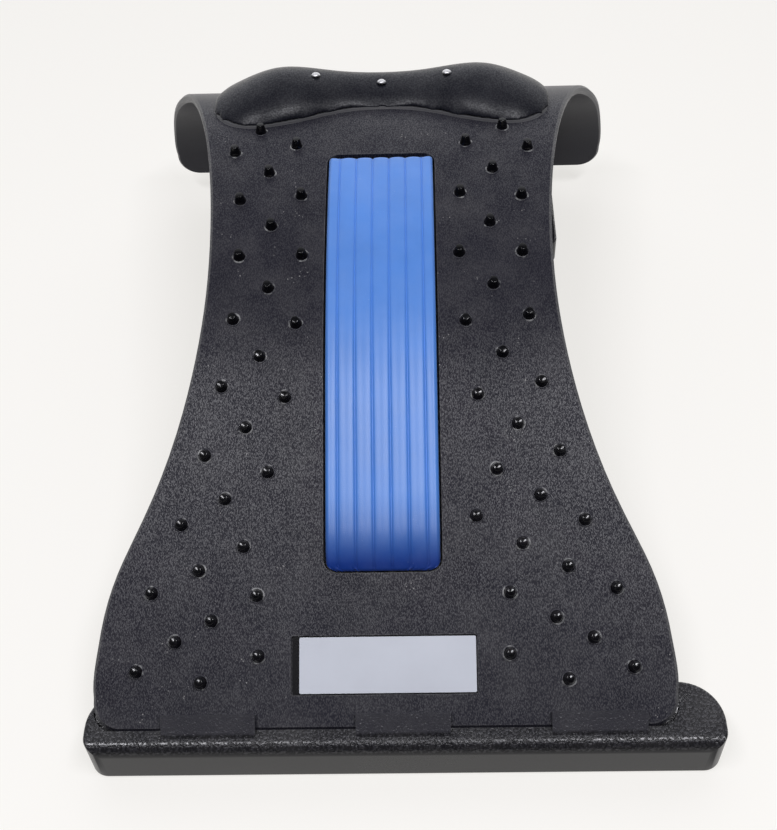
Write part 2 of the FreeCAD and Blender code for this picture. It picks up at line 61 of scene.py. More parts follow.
class StretcherProfile(bpy.types.PropertyGroup):
    """Side profile of the bent panel's upper face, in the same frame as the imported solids"""
    front_y: bpy.props.FloatProperty(
        name="Front edge Y", description="Where the panel's front edge lies along the base",
        default=-0.18845, unit="LENGTH")
    front_z: bpy.props.FloatProperty(
        name="Front edge height", description="Height of the panel's front edge",
        default=0.0245, unit="LENGTH")
    flank_slope: bpy.props.FloatProperty(
        name="Flank slope", description="Slope of the straight front flank",
        default=math.radians(27.95), subtype="ANGLE")
    flank_length: bpy.props.FloatProperty(
        name="Flank length", description="Length of the straight front flank",
        default=0.141, unit="LENGTH")
    crown_radius: bpy.props.FloatProperty(
        name="Crown radius", description="Bend radius under the lower back",
        default=0.274, unit="LENGTH")
    crown_sweep: bpy.props.FloatProperty(
        name="Crown sweep", description="Angle the crown turns through",
        default=math.radians(32.4), subtype="ANGLE")
    shoulder_radius: bpy.props.FloatProperty(
        name="Shoulder radius", description="Bend radius under the pillow",
        default=0.130, unit="LENGTH")
    shoulder_sweep: bpy.props.FloatProperty(
        name="Shoulder sweep", description="Angle the shoulder turns through",
        default=math.radians(25.7), subtype="ANGLE")
    tail_radius: bpy.props.FloatProperty(
        name="Tail radius", description="Bend radius of the rear curl",
        default=0.084, unit="LENGTH")
    tail_sweep: bpy.props.FloatProperty(
        name="Tail sweep", description="Angle the rear curl turns through",
        default=math.radians(60.4), subtype="ANGLE")
    tail_length: bpy.props.FloatProperty(
        name="Tail length", description="Straight end behind the curl",
        default=0.014, unit="LENGTH")
    side_shift: bpy.props.FloatProperty(
        name="Side shift", description="How far the panel lies left of the base's middle",
        default=-0.008, unit="LENGTH")


class StretcherSizes(bpy.types.PropertyGroup):
    """Sizes of the pieces that are modelled here"""
    pad_start: bpy.props.FloatProperty(
        name="Pad start", description="Distance of the pad's front end from the panel's front edge",
        default=0.0675, unit="LENGTH")
    pad_end: bpy.props.FloatProperty(
        name="Pad end", description="Distance of the pad's rear end from the panel's front edge",
        default=0.27604, unit="LENGTH")
    pad_width: bpy.props.FloatProperty(
        name="Pad width", description="Width of the fluted pad", default=0.0502, unit="LENGTH")
    pad_rib_pitch: bpy.props.FloatProperty(
        name="Rib pitch", description="Distance between the pad's full ribs",
        default=0.0079, unit="LENGTH")
    pad_crown: bpy.props.FloatProperty(
        name="Pad crown", description="Height of the ribs over the panel",
        default=0.0016, unit="LENGTH")
    pad_groove: bpy.props.FloatProperty(
        name="Groove depth", description="How far each rib falls away towards its sides",
        default=0.0007, unit="LENGTH")
    pad_notch: bpy.props.FloatProperty(
        name="Notch depth", description="Depth of the sharp notch between two ribs",
        default=0.0006, unit="LENGTH")
    pad_floor: bpy.props.FloatProperty(
        name="Pad depth", description="Depth of the pad's underside below the panel's face",
        default=0.0044, unit="LENGTH")
    pad_nose: bpy.props.FloatProperty(
        name="Pad nose", description="Length over which the pad curves down at its front end",
        default=0.019, unit="LENGTH")
    pad_nose_drop: bpy.props.FloatProperty(
        name="Nose drop", description="How far the pad's front end dips",
        default=0.0036, unit="LENGTH")
    stud_base: bpy.props.FloatProperty(
        name="Stud base radius", description="Radius of a stud at the panel",
        default=0.00275, unit="LENGTH")
    stud_tip: bpy.props.FloatProperty(
        name="Stud tip radius", description="Radius of a stud's flat top",
        default=0.00185, unit="LENGTH")
    stud_height: bpy.props.FloatProperty(
        name="Stud height", description="Height of a stud over the panel",
        default=0.0048, unit="LENGTH")
    stud_round: bpy.props.FloatProperty(
        name="Stud edge", description="Rounding of the edge round a stud's top",
        default=0.0005, unit="LENGTH")
    screw_radius: bpy.props.FloatProperty(
        name="Screw head radius", description="Radius of a screw head under the panel",
        default=0.0026, unit="LENGTH")
    tray_half: bpy.props.FloatProperty(
        name="Tray screw offset", description="Distance of the tray's screws from its middle",
        default=0.0316, unit="LENGTH")
    plate_width: bpy.props.FloatProperty(
        name="Plate width", description="Width of the blank plate", default=0.0764, unit="LENGTH")
    plate_length: bpy.props.FloatProperty(
        name="Plate length", description="Length of the blank plate", default=0.0240, unit="LENGTH")
    plate_start: bpy.props.FloatProperty(
        name="Plate start", description="Distance of the plate from the panel's front edge",
        default=0.0150, unit="LENGTH")
    plate_shift: bpy.props.FloatProperty(
        name="Plate shift", description="How far the plate sits to the right in its recess",
        default=0.0016, unit="LENGTH")
    pillow_spread: bpy.props.FloatProperty(
        name="Pillow spread", description="How far the pillow's soft rim reaches out over its lip",
        default=0.0014, unit="LENGTH")
    pillow_widen: bpy.props.FloatProperty(
        name="Pillow widening", description="Share that the soft pillow is wider than its solid",
        default=0.015)
    dot_radius: bpy.props.FloatProperty(
        name="Dot radius", description="Radius of a dot on the pillow",
        default=0.0023, unit="LENGTH")
    dot_rise: bpy.props.FloatProperty(
        name="Dot rise", description="Height of a dot over its seat", default=0.0012, unit="LENGTH")


class StretcherColours(bpy.types.PropertyGroup):
    """Colours of the finishes"""
    panel: bpy.props.FloatVectorProperty(
        name="Panel", description="Dark grey of the moulded panel", subtype="COLOR",
        default=(0.0212, 0.0208, 0.0288), min=0.0, max=1.0)
    base: bpy.props.FloatVectorProperty(
        name="Base", description="Near black of the moulded base", subtype="COLOR",
        default=(0.014, 0.0138, 0.0165), min=0.0, max=1.0)
    pad: bpy.props.FloatVectorProperty(
        name="Pad", description="Blue of the foam pad", subtype="COLOR",
        default=(0.071, 0.258, 0.765), min=0.0, max=1.0)
    pillow: bpy.props.FloatVectorProperty(
        name="Pillow", description="Near black of the neck pillow", subtype="COLOR",
        default=(0.0105, 0.0110, 0.0160), min=0.0, max=1.0)
    stud: bpy.props.FloatVectorProperty(
        name="Studs", description="Glossy black of the studs", subtype="COLOR",
        default=(0.002, 0.002, 0.003), min=0.0, max=1.0)
    plate: bpy.props.FloatVectorProperty(
        name="Plate", description="Off-white of the blank plate", subtype="COLOR",
        default=(0.635, 0.665, 0.735), min=0.0, max=1.0)
    dot: bpy.props.FloatVectorProperty(
        name="Dots", description="Nickel of the dots", subtype="COLOR",
        default=(0.86, 0.86, 0.87), min=0.0, max=1.0)
    floor: bpy.props.FloatVectorProperty(
        name="Floor", description="Pale floor", subtype="COLOR",
        default=(0.86, 0.85, 0.83), min=0.0, max=1.0)


class StretcherStage(bpy.types.PropertyGroup):
    """Camera and lights"""
    camera_place: bpy.props.FloatVectorProperty(
        name="Camera place", description="Where the camera stands", subtype="TRANSLATION",
        unit="LENGTH", default=(0.0108, -0.44485, 0.55717))
    camera_pitch: bpy.props.FloatProperty(
        name="Camera pitch", description="Angle of the view below the horizon",
        default=math.radians(51.172), subtype="ANGLE")
    camera_yaw: bpy.props.FloatProperty(
        name="Camera yaw", description="Turn of the view to the left",
        default=math.radians(2.376), subtype="ANGLE")
    camera_roll: bpy.props.FloatProperty(
        name="Camera roll", description="Tilt of the picture",
        default=math.radians(-2.791), subtype="ANGLE")
    camera_lens: bpy.props.FloatProperty(
        name="Lens", description="Focal length for a 36 mm sensor", default=58.55, unit="CAMERA")
    left_power: bpy.props.FloatProperty(
        name="Left lamp", description="Power of the lamp over the left side", default=8.4,
        unit="POWER")
    right_power: bpy.props.FloatProperty(
        name="Right lamp", description="Power of the lamp over the right side", default=9.4,
        unit="POWER")
    sky_strength: bpy.props.FloatProperty(
        name="Sky strength", description="Strength of the even light all round", default=0.16)
    floor_glow: bpy.props.FloatProperty(
        name="Floor glow", description="Share of plain white in the floor as the camera sees it",
        default=0.60, min=0.0, max=1.0)


# The panel's surface

def segments(profile):
    """The profile's pieces: where each begins, its radius, and its first point and slope."""
    runs = [
        (profile.flank_length, 0.0),
        (profile.crown_radius * profile.crown_sweep, profile.crown_radius),
        (profile.shoulder_radius * profile.shoulder_sweep, profile.shoulder_radius),
        (profile.tail_radius * profile.tail_sweep, profile.tail_radius),
        (profile.tail_length, 0.0),
    ]
    start, slope = 0.0, profile.flank_slope
    y, z = profile.front_y, profile.front_z
    made = []
    for length, radius in runs:
        made.append((start, radius, y, z, slope))
        end = slope - length / radius if radius else slope
        if radius:
            y += radius * (math.sin(slope) - math.sin(end))
            z += radius * (math.cos(end) - math.cos(slope))
        else:
            y += length * math.cos(slope)
            z += length * math.sin(slope)
        slope = end
        start += length
    return made, start


class PanelSurface:
    """Finds points on the bent panel from the distance along it and across it."""

    def __init__(self, profile):
        self.runs, self.length = segments(profile)
        self.shift = profile.side_shift

    def place(self, s):
        begun = [run for run in self.runs if run[0] <= s] or self.runs[:1]
        start, radius, y, z, slope = begun[-1]
        run = s - start
        if not radius:
            return y + run * math.cos(slope), z + run * math.sin(slope), slope
        here = slope - run / radius
        y += radius * (math.sin(slope) - math.sin(here))
        z += radius * (math.cos(here) - math.cos(slope))
        return y, z, here

    def point(self, s, x, height=0.0):
        y, z, slope = self.place(s)
        return Vector((x + self.shift, y - height * math.sin(slope), z + height * math.cos(slope)))

    def standing(self, s, x, height=0.0):
        """Matrix whose Z stands on the panel, for a piece set on it."""
        turn = Matrix.Rotation(self.place(s)[2], 4, "X")
        return Matrix.Translation(self.point(s, x, height)) @ turn

    def nearest(self, point):
        """Distance along the panel whose normal passes nearest to a point."""
        def away(s):
            return (self.point(s, 0.0).yz - point.yz).length

        best = min(range(int(self.length * NEAREST_STEPS)), key=lambda i: away(i / NEAREST_STEPS))
        low, high = (best - 1) / NEAREST_STEPS, (best + 1) / NEAREST_STEPS
        for _ in range(24):
            a, b = low + (high - low) / 3, high - (high - low) / 3
            if away(a) < away(b):
                high = b
            else:
                low = a
        return (low + high) / 2


def surface():
    return PanelSurface(bpy.context.scene.stretcher_profile)


# Node helpers

def feed(node, inputs):
    """Links or sets each named input of a node."""
    for key, value in inputs.items():
        plug = node.inputs[key]
        if isinstance(value, bpy.types.NodeSocket):
            node.id_data.links.new(value, plug)
        else:
            plug.default_value = value


def add_node(tree, kind, inputs=None, **settings):
    node = tree.nodes.new("ShaderNode" + kind)
    for name, value in settings.items():
        setattr(node, name, value)
    feed(node, inputs or {})
    return node


def math_node(tree, operation, first, second=0.0, clamp=False):
    node = add_node(tree, "Math", {0: first, 1: second}, operation=operation, use_clamp=clamp)
    return node.outputs[0]


def times(tree, first, second, clamp=False):
    return math_node(tree, "MULTIPLY", first, second, clamp)


def plus(tree, first, second, clamp=False):
    return math_node(tree, "ADD", first, second, clamp)


def map_range(tree, value, low, high, to_low=0.0, to_high=1.0):
    node = add_node(tree, "MapRange", {
        "Value": value, "From Min": low, "From Max": high, "To Min": to_low, "To Max": to_high})
    return node.outputs["Result"]


def noise(tree, vector, scale, detail, **more):
    """Factor of a noise texture."""
    given = {"Vector": vector, "Scale": scale, "Detail": detail, **more}
    return add_node(tree, "TexNoise", given).outputs["Fac"]


def axis_of(tree, vector, axis):
    return add_node(tree, "SeparateXYZ", {0: vector}).outputs[axis]


def facing(tree, kind, axis):
    """One axis of the way that a surface faces."""
    return axis_of(tree, add_node(tree, "NewGeometry").outputs[kind], axis)


def rays(tree, first, second):
    """1 for the two named kinds of ray and 0 for all others."""
    path = add_node(tree, "LightPath").outputs
    return math_node(tree, "MAXIMUM", path["Is " + first + " Ray"], path["Is " + second + " Ray"])


def mix_colour(tree, factor, first, second):
    node = add_node(tree, "Mix", {0: factor, 6: first, 7: second}, data_type="RGBA")
    return node.outputs[2]


def rgba(colour, gain=1.0):
    return (colour[0] * gain, colour[1] * gain, colour[2] * gain, 1.0)


def new_group(name, inputs, outputs):
    """Empty shader group with float or vector inputs and float outputs."""
    tree = bpy.data.node_groups.new(name, "ShaderNodeTree")
    for label, default in inputs:
        kind = "NodeSocketVector" if default is None else "NodeSocketFloat"
        plug = tree.interface.new_socket(name=label, in_out="INPUT", socket_type=kind)
        if default is not None:
            plug.default_value = default
    for label in outputs:
        tree.interface.new_socket(name=label, in_out="OUTPUT", socket_type="NodeSocketFloat")
    start = tree.nodes.new("NodeGroupInput")
    end = tree.nodes.new("NodeGroupOutput")
    return tree, start.outputs, end.inputs


def use_group(tree, group, inputs):
    node = tree.nodes.new("ShaderNodeGroup")
    node.node_tree = bpy.data.node_groups[group]
    feed(node, inputs)
    return node.outputs


def make_leather_grain():
    """Fine moulding grain: small rounded bumps of uneven size with a sharper tooth on them."""
    tree, given, out = new_group(
        "Leather grain", [("Vector", None), ("Scale", 700.0), ("Bumps", 0.6), ("Tooth", 0.4)],
        ["Height", "Tone"])
    rough = noise(tree, given["Vector"], given["Scale"], 2.0, Roughness=0.55)
    cell_scale = times(tree, given["Scale"], 1.3)
    cells = add_node(tree, "TexVoronoi", {"Vector": given["Vector"], "Scale": cell_scale},
                     feature="SMOOTH_F1")
    feed(cells, {"Smoothness": 0.6})
    dome = map_range(tree, cells.outputs["Distance"], 0.65, 0.1)
    raised = times(tree, dome, given["Bumps"])
    fine = times(tree, rough, given["Tooth"])
    tree.links.new(plus(tree, raised, fine), out["Height"])
    blotch = map_range(tree, noise(tree, given["Vector"], 26.0, 5.0), 0.3, 0.7, 0.2, 0.6)
    speck = map_range(tree, rough, 0.40, 0.66, 0.0, 0.4)
    tree.links.new(plus(tree, blotch, speck, True), out["Tone"])


def make_spark_grain():
    """Even sandy texture of a spark-eroded mould."""
    tree, given, out = new_group(
        "Sandy grain", [("Vector", None), ("Scale", 1500.0)], ["Height", "Tone"])
    coarse = noise(tree, given["Vector"], given["Scale"], 1.5, Roughness=0.5)
    height = map_range(tree, coarse, 0.32, 0.68)
    tree.links.new(height, out["Height"])
    blotch = map_range(tree, noise(tree, given["Vector"], 17.0, 3.0), 0.3, 0.7, 0.2, 0.7)
    tree.links.new(plus(tree, blotch, times(tree, height, 0.3), True), out["Tone"])


def make_edge_wear():
    """Mask of the outer edges, broken up where hands have rubbed them."""
    tree, given, out = new_group(
        "Edge wear", [("Vector", None), ("Width", 0.0008), ("Amount", 0.6)], ["Mask"])
    rounded = add_node(tree, "Bevel", {"Radius": given["Width"]}, samples=4)
    normal = add_node(tree, "NewGeometry").outputs["Normal"]
    along = add_node(tree, "VectorMath", {0: rounded.outputs[0], 1: normal},
                     operation="DOT_PRODUCT")
    edge = map_range(tree, along.outputs["Value"], 0.995, 0.86)
    broken = map_range(tree, noise(tree, given["Vector"], 130.0, 5.0), 0.35, 0.62, 0.25, 1.0)
    rubbed = times(tree, edge, broken)
    tree.links.new(times(tree, rubbed, given["Amount"], True), out["Mask"])


def make_settled_dust():
    """Mask of fine dust: thin overall, with a few specks and lint on faces that look up."""
    tree, given, out = new_group(
        "Settled dust", [("Vector", None), ("Amount", 0.3), ("Specks", 0.5)], ["Mask"])
    level = map_range(tree, facing(tree, "Normal", "Z"), 0.2, 0.95)
    cloud = noise(tree, given["Vector"], 55.0, 6.0, Roughness=0.6)
    haze = times(tree, map_range(tree, cloud, 0.42, 0.75), given["Amount"])
    grit = add_node(tree, "TexVoronoi", {"Vector": given["Vector"], "Scale": 620.0})
    dot = map_range(tree, grit.outputs["Distance"], 0.22, 0.12)
    rare = map_range(tree, noise(tree, given["Vector"], 90.0, 2.0), 0.62, 0.70)
    specks = times(tree, times(tree, dot, rare), given["Specks"])
    both = plus(tree, haze, specks, True)
    tree.links.new(times(tree, both, level, True), out["Mask"])


def make_foam_cells():
    """Dull skin of closed-cell foam: soft mottling and tiny pits."""
    tree, given, out = new_group("Foam skin", [("Vector", None)], ["Height", "Tone"])
    pits = add_node(tree, "TexVoronoi", {"Vector": given["Vector"], "Scale": 1400.0})
    pit = map_range(tree, pits.outputs["Distance"], 0.05, 0.55)
    skin = noise(tree, given["Vector"], 2600.0, 3.0)
    tree.links.new(plus(tree, times(tree, pit, 0.6), times(tree, skin, 0.4)), out["Height"])
    cloud = noise(tree, given["Vector"], 34.0, 5.0)
    tree.links.new(map_range(tree, cloud, 0.3, 0.7), out["Tone"])


def make_fine_scratches():
    """Hairlines of handled metal and gloss plastic."""
    tree, given, out = new_group("Fine scratches", [("Vector", None), ("Scale", 300.0)], ["Mask"])
    stretched = add_node(tree, "Mapping", {"Vector": given["Vector"], "Scale": (1.0, 9.0, 1.0),
                                           "Rotation": (0.0, 0.0, 0.5)})
    lines = noise(tree, stretched.outputs[0], given["Scale"], 6.0, Distortion=0.6)
    tree.links.new(map_range(tree, lines, 0.55, 0.62), out["Mask"])


def make_groups():
    for maker in (make_leather_grain, make_spark_grain, make_edge_wear, make_settled_dust,
                  make_foam_cells, make_fine_scratches):
        maker()


def new_material(name, roughness, specular, plain=None):
    """Material with a Principled shader; plain values go straight on the shader's sockets."""
    made = bpy.data.materials.new(name)
    made.use_nodes = True
    tree = made.node_tree
    shader = tree.nodes["Principled BSDF"]
    feed(shader, {"Roughness": roughness, "Specular IOR Level": specular, **(plain or {})})
    place = add_node(tree, "TexCoord").outputs["Object"]
    return made, tree, shader, place


def bump(tree, shader, height, strength, distance):
    node = add_node(tree, "Bump", {"Height": height, "Strength": strength, "Distance": distance})
    feed(shader, {"Normal": node.outputs[0]})


def toned(tree, tone, colour, low, high):
    """A colour that varies between two gains with a texture's tone."""
    return mix_colour(tree, tone, rgba(colour, low), rgba(colour, high))


def worn(tree, place, body, width, amount, bare):
    """A body colour with the lighter colour of its rubbed edges over it."""
    wear = use_group(tree, "Edge wear", {"Vector": place, "Width": width, "Amount": amount})
    return mix_colour(tree, wear["Mask"], body, bare)


def dusted(tree, place, body, amount, specks, dust_colour):
    """A body colour with dust on it, and the dust's mask."""
    dust = use_group(tree, "Settled dust", {"Vector": place, "Amount": amount, "Specks": specks})
    return mix_colour(tree, dust["Mask"], body, dust_colour), dust["Mask"]


def panel_material(colour):
    """Moulded sheet with a drawn leather grain that fades out behind the pillow."""
    made, tree, shader, place = new_material("Panel plastic", 0.4, 0.06, {"Coat Roughness": 0.39})
    drawn = add_node(tree, "Mapping", {"Vector": place, "Scale": (2.1, 0.9, 0.9)})
    grained = map_range(tree, axis_of(tree, place, "Y"), 0.135, 0.10)
    grain = use_group(tree, "Leather grain", {"Vector": drawn.outputs[0], "Scale": 880.0,
                                              "Bumps": 0.6, "Tooth": 0.7})
    # Faces that lean sideways, the chamfers of the side rims, get a lighter grey: a painted
    # highlight along the rounded edges
    sideways = math_node(tree, "ABSOLUTE", facing(tree, "True Normal", "X"))
    rim = times(tree, map_range(tree, sideways, 0.30, 0.50),
                map_range(tree, sideways, 0.95, 0.80))
    edged = mix_colour(tree, rim, toned(tree, grain["Tone"], colour, 0.88, 1.12), RIM_GREY)
    # Lighter grey on the outer edges: partly rubbed wear, partly a painted highlight along the
    # rounded edges
    rubbed = worn(tree, place, edged, 0.0008, 0.7, (0.13, 0.128, 0.13, 1.0))
    skin, dust = dusted(tree, place, rubbed, 0.06, 0.7, (0.42, 0.41, 0.40, 1.0))
    speck = map_range(tree, grain["Height"], 0.38, 0.92, -0.46, 0.72)
    coat = plus(tree, times(tree, speck, grained),
                map_range(tree, grained, 0.0, 1.0, 0.46, 0.40), True)
    gloss = map_range(tree, grain["Tone"], 0.0, 1.0, 0.40, 0.32)
    dulled = plus(tree, gloss, times(tree, dust, 0.3), True)
    feed(shader, {"Base Color": skin, "Coat Weight": coat, "Roughness": dulled})
    bump(tree, shader, grain["Height"], 0.5, 0.00014)
    return made


def base_material(colour):
    """Moulded base: coarse grain on top and over its rolled edge, its raised specks lightened in
    colour as painted glints, plain sides.
    """
    made, tree, shader, place = new_material("Base plastic", 0.36, 0.26, {"Coat Roughness": 0.27})
    grain = use_group(tree, "Sandy grain", {"Vector": place, "Scale": 900.0})
    textured = map_range(tree, facing(tree, "Normal", "Z"), 0.2, 0.7)
    relief = times(tree, grain["Height"], textured)
    # Raised grain specks on upward faces: their colour is lifted up to twice as painted glints, and
    # they also get a real coat
    bright = times(tree, map_range(tree, grain["Height"], 0.42, 0.82), textured)
    hooks = times(tree, map_range(tree, axis_of(tree, place, "Z"), 0.0252, 0.0260),
                  map_range(tree, axis_of(tree, place, "Y"), -0.14, -0.15))
    body = mix_colour(tree, hooks, toned(tree, bright, colour, 0.75, 2.0), rgba(colour, 3.2))
    rubbed = worn(tree, place, body, 0.0011, 0.2, (0.10, 0.10, 0.102, 1.0))
    skin, _ = dusted(tree, place, rubbed, 0.06, 0.3, (0.40, 0.39, 0.38, 1.0))
    coat = plus(tree, bright, times(tree, hooks, 0.52), True)
    feed(shader, {"Base Color": skin, "Coat Weight": coat,
                  "Roughness": map_range(tree, grain["Tone"], 0.0, 1.0, 0.36, 0.26)})
    bump(tree, shader, relief, 0.7, 0.00030)
    return made


def pad_material(colour):
    """Soft blue foam whose colour is darkened towards its front end, a painted shade where its nose
    dips into the slot.
    """
    made, tree, shader, place = new_material("Pad foam", 0.42, 0.32, {
        "Coat Roughness": 0.41, "Sheen Weight": 0.15, "Sheen Roughness": 0.5})
    foam = use_group(tree, "Foam skin", {"Vector": place})
    # Colour darkened towards the front end where the nose curves down: painted shade; the coat
    # fades there too
    nose = map_range(tree, axis_of(tree, place, "Y"), -0.099, -0.1255)
    deep = (colour[0] * 0.07, colour[1] * 0.15, colour[2] * 0.34, 1.0)
    shaded = mix_colour(tree, math_node(tree, "POWER", nose, 1.4),
                        toned(tree, foam["Tone"], colour, 0.94, 1.06), deep)
    skin, _ = dusted(tree, place, shaded, 0.05, 0.12, (0.62, 0.68, 0.80, 1.0))
    feed(shader, {"Base Color": skin,
                  "Coat Weight": map_range(tree, nose, 0.0, 1.0, 1.0, 0.02),
                  "Roughness": map_range(tree, foam["Tone"], 0.0, 1.0, 0.38, 0.44)})
    bump(tree, shader, foam["Height"], 0.35, 0.00012)
    return made


def pillow_material(colour):
    made, tree, shader, place = new_material("Pillow rubber", 0.38, 0.06, {"Coat Roughness": 0.37})
    grain = use_group(tree, "Sandy grain", {"Vector": place, "Scale": 1300.0})
    skin, _ = dusted(tree, place, toned(tree, grain["Tone"], colour, 0.8, 1.25), 0.05, 0.2,
                     (0.36, 0.36, 0.37, 1.0))
    feed(shader, {"Base Color": skin,
                  "Coat Weight": map_range(tree, grain["Height"], 0.2, 0.9, 0.18, 0.68),
                  "Roughness": map_range(tree, grain["Tone"], 0.0, 1.0, 0.42, 0.34)})
    bump(tree, shader, grain["Height"], 0.4, 0.00006)
    return made


def stud_material(colour):
    made, tree, shader, place = new_material("Stud rubber", 0.15, 0.34)
    marks = use_group(tree, "Fine scratches", {"Vector": place, "Scale": 420.0})
    skin, _ = dusted(tree, place, toned(tree, marks["Mask"], colour, 1.0, 2.2), 0.02, 0.3,
                     (0.3, 0.3, 0.3, 1.0))
    feed(shader, {"Base Color": skin,
                  "Roughness": map_range(tree, marks["Mask"], 0.0, 1.0, 0.14, 0.22)})
    return made


def collar_material(colour):
    """The panel's own plastic, whitened in patches by dust that gathers round a stud."""
    made, tree, shader, place = new_material("Stud collar", 0.5, 0.4)
    grain = use_group(tree, "Sandy grain", {"Vector": place, "Scale": 1800.0})
    dusty = map_range(tree, noise(tree, place, 260.0, 4.0), 0.50, 0.68)
    body = toned(tree, grain["Tone"], colour, 0.8, 1.3)
    feed(shader, {"Base Color": mix_colour(tree, dusty, body, (0.36, 0.36, 0.36, 1.0)),
                  "Roughness": map_range(tree, dusty, 0.0, 1.0, 0.42, 0.75)})
    bump(tree, shader, grain["Height"], 0.4, 0.0001)
    return made


def plate_material(colour):
    made, tree, shader, place = new_material("Blank plate", 0.42, 0.5)
    cloud = map_range(tree, noise(tree, place, 60.0, 4.0), 0.3, 0.7)
    body = toned(tree, cloud, colour, 0.965, 1.02)
    feed(shader, {"Base Color": worn(tree, place, body, 0.0004, 0.4, (0.52, 0.52, 0.55, 1.0))})
    bump(tree, shader, noise(tree, place, 1900.0, 2.0), 0.12, 0.00005)
    return made


def metal_material(name, colour, roughness):
    made, tree, shader, place = new_material(name, roughness, 0.5, {"Metallic": 1.0})
    marks = use_group(tree, "Fine scratches", {"Vector": place, "Scale": 900.0})
    scuffed = map_range(tree, marks["Mask"], 0.0, 1.0, roughness, roughness + 0.18)
    feed(shader, {"Base Color": toned(tree, marks["Mask"], colour, 1.0, 0.7),
                  "Roughness": scuffed})
    return made


def moulded_material(name, colour, roughness, scale, specular=0.45):
    """Plain moulded plastic or rubber with a light grain, for the tray, the feet and the like."""
    made, tree, shader, place = new_material(name, roughness, specular)
    grain = use_group(tree, "Sandy grain", {"Vector": place, "Scale": scale})
    body = toned(tree, grain["Tone"], colour, 0.8, 1.25)
    feed(shader, {
        "Base Color": worn(tree, place, body, 0.0006, 0.4, rgba(colour, 3.0)),
        "Roughness": map_range(tree, grain["Tone"], 0.0, 1.0, roughness + 0.06, roughness - 0.06)})
    bump(tree, shader, grain["Height"], 0.35, 0.00012)
    return made


def floor_material(colour, glow):
    """Pale floor; the camera and gloss see part of its own white, so its shadows stay soft."""
    made, tree, shader, place = new_material("Pale floor", 0.55, 0.25)
    feed(shader, {"Base Color": toned(tree, noise(tree, place, 1.6, 3.0), colour, 0.985, 1.015)})
    white = add_node(tree, "Emission", {"Color": (1.0, 0.98, 0.937, 1.0), "Strength": 1.1})
    share = times(tree, rays(tree, "Camera", "Glossy"), glow)
    both = add_node(tree, "MixShader", {0: share, 1: shader.outputs[0], 2: white.outputs[0]})
    feed(tree.nodes["Material Output"], {"Surface": both.outputs[0]})
    return made


# Mesh helpers

def set_material(mesh, material):
    mesh.materials.clear()
    mesh.materials.append(material)


def finish_mesh(bm, name, smooth=True):
    mesh = bpy.data.meshes.new(name)
    bm.to_mesh(mesh)
    bm.free()
    if smooth:
        mesh.shade_smooth()
    return mesh


def new_object(bm, name, material, body, *replaced, smooth=True):
    """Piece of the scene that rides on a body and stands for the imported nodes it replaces."""
    mesh = finish_mesh(bm, name, smooth)
    set_material(mesh, material)
    made = bpy.data.objects.new(name, mesh)
    bpy.context.scene.collection.objects.link(made)
    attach(made, body)
    if replaced:
        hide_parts(*replaced)
    return made


def merged_copy(node):
    """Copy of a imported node's mesh with its loose triangles joined."""
    bm = bmesh.new()
    bm.from_mesh(NODES[node].data)
    bmesh.ops.remove_doubles(bm, verts=bm.verts, dist=0.00001)
    return bm


def smooth_copy(node, name, material, body, angle=32.0):
    """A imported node's own shape, joined and shaded smooth up to its sharp edges."""
    bm = merged_copy(node)
    limit = math.radians(angle)
    for edge in bm.edges:
        edge.smooth = len(edge.link_faces) == 2 and edge.calc_face_angle(0.0) < limit
    made = new_object(bm, name, material, body, node)
    shade = made.modifiers.new("Even normals", "WEIGHTED_NORMAL")
    shade.keep_sharp = True
    return made


def islands(bm):
    """Groups of vertices that hang together."""
    left = set(bm.verts)
    found = []
    while left:
        group, edge = set(), [left.pop()]
        while edge:
            vert = edge.pop()
            group.add(vert)
            for other in (e.other_vert(vert) for e in vert.link_edges):
                if other in left:
                    left.discard(other)
                    edge.append(other)
        found.append(group)
    return found


def spun(profile_points, steps):
    """Closed round body turned about Z from a profile that begins and ends on the axis."""
    bm = bmesh.new()
    verts = [bm.verts.new(p) for p in profile_points]
    edges = [bm.edges.new(pair) for pair in zip(verts[:-1], verts[1:])]
    bmesh.ops.spin(bm, geom=verts + edges, cent=(0.0, 0.0, 0.0), axis=(0.0, 0.0, 1.0),
                   angle=math.tau, steps=steps, use_merge=True)
    bmesh.ops.remove_doubles(bm, verts=bm.verts, dist=0.000001)
    bmesh.ops.recalc_face_normals(bm, faces=bm.faces)
    return bm


def add_copies(target, source, places):
    """Adds a shape to a mesh once at each place."""
    part = bpy.data.meshes.new("part")
    source.to_mesh(part)
    source.free()
    for place in places:
        start = len(target.verts)
        target.from_mesh(part)
        target.verts.ensure_lookup_table()
        bmesh.ops.transform(target, matrix=place, verts=target.verts[start:])
    bpy.data.meshes.remove(part)


# Operators, one for each piece or group of like pieces

class STRETCHER_OT_finishes(bpy.types.Operator):
    """Build the shared shader groups"""
    bl_idname = "stretcher.finishes"
    bl_label = "Build Finishes"
    bl_options = {"REGISTER", "UNDO"}

    def execute(self, context):
        make_groups()
        return {"FINISHED"}


class STRETCHER_OT_base(bpy.types.Operator):
    """Finish the moulded base and its floor pads"""
    bl_idname = "stretcher.base"
    bl_label = "Finish Base"
    bl_options = {"REGISTER", "UNDO"}

    def execute(self, context):
        colours = context.scene.stretcher_colours
        smooth_copy("base_frame", "base_moulding", base_material(colours.base), "base")
        rubber = moulded_material("Foot rubber", (0.018, 0.018, 0.018), 0.7, 1400.0)
        for name in FOOT_NODES:
            set_material(NODES[name].data, rubber)
        return {"FINISHED"}


